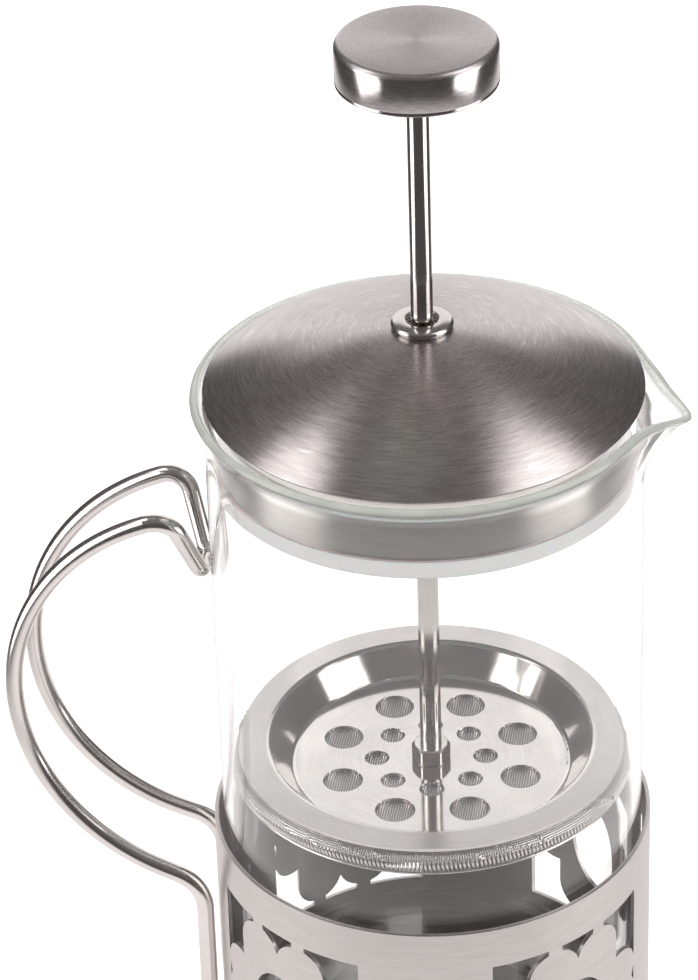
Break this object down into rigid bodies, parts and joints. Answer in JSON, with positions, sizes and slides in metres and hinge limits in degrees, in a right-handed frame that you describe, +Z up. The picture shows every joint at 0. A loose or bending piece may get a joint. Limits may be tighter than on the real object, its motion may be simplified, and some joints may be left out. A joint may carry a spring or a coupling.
{
  "type": "french press",
  "caption": "Glass coffee press with a spout, a domed steel lid, a plunger with a mesh filter and a pierced steel frame with a bent wire handle.",
  "frame": {"origin": "centre of the base plate on the beaker's axis, at the height of the table", "axes": "+Z up along the plunger rod, +X towards the spout, -X towards the handle"},
  "size_m": [0.1609, 0.1058, 0.2725],
  "materials": {
    "beaker_glass": "clear fire-polished borosilicate",
    "frame_steel": "brushed round the sleeve",
    "base_steel": "plain pressed sheet",
    "wire_steel": "polished round wire",
    "dome_steel": "spun, brushed in circles",
    "skirt_steel": "brushed band",
    "liner_plastic": "translucent white moulding",
    "bush_steel": "polished eyelet",
    "lock_ring_steel": "spring steel",
    "knob_steel": "brushed round the side, satin top",
    "knob_core_plastic": "black filling",
    "insert_brass": "turned",
    "rod_steel": "polished rod",
    "nut_steel": "bright hexagon",
    "disc_steel": "pressed, satin rim and polished dish",
    "mesh_steel": "fine woven wire cloth",
    "coil_steel": "close-wound wire",
    "plate_steel": "pressed sheet"
  },
  "bodies": {
    "frame": {"frame_sleeve": "frame_steel", "frame_base": "base_steel", "handle_wire": "wire_steel"},
    "beaker": {"glass_beaker": "beaker_glass"},
    "lid": {"lid_dome": "dome_steel", "lid_skirt": "skirt_steel", "lid_liner": "liner_plastic", "lid_bush": "bush_steel", "lid_lock_ring": "lock_ring_steel"},
    "plunger": {"plunger_rod": "rod_steel", "top_nut": "nut_steel", "filter_disc": "disc_steel", "filter_mesh": "mesh_steel", "coil_spring": "coil_steel", "spring_plate": "plate_steel", "bottom_nut": "nut_steel"},
    "knob": {"knob_shell": "knob_steel", "knob_plate": "knob_steel", "knob_core": "knob_core_plastic", "knob_insert": "insert_brass"}
  },
  "joints": [
    {"name": "beaker_lift", "type": "slide", "parent": "frame", "child": "beaker", "axis": [0, 0, 1], "range_m": [0, 0.08]},
    {"name": "lid_lift", "type": "slide", "parent": "beaker", "child": "lid", "axis": [0, 0, 1], "range_m": [0, 0.12]},
    {"name": "plunger_press", "type": "slide", "parent": "lid", "child": "plunger", "axis": [0, 0, 1], "range_m": [-0.0587, 0.074]},
    {"name": "knob_turn", "type": "hinge", "parent": "plunger", "child": "knob", "pos_m": [0, 0, 0.2675], "axis": [0, 0, 1], "continuous": true}
  ]
}
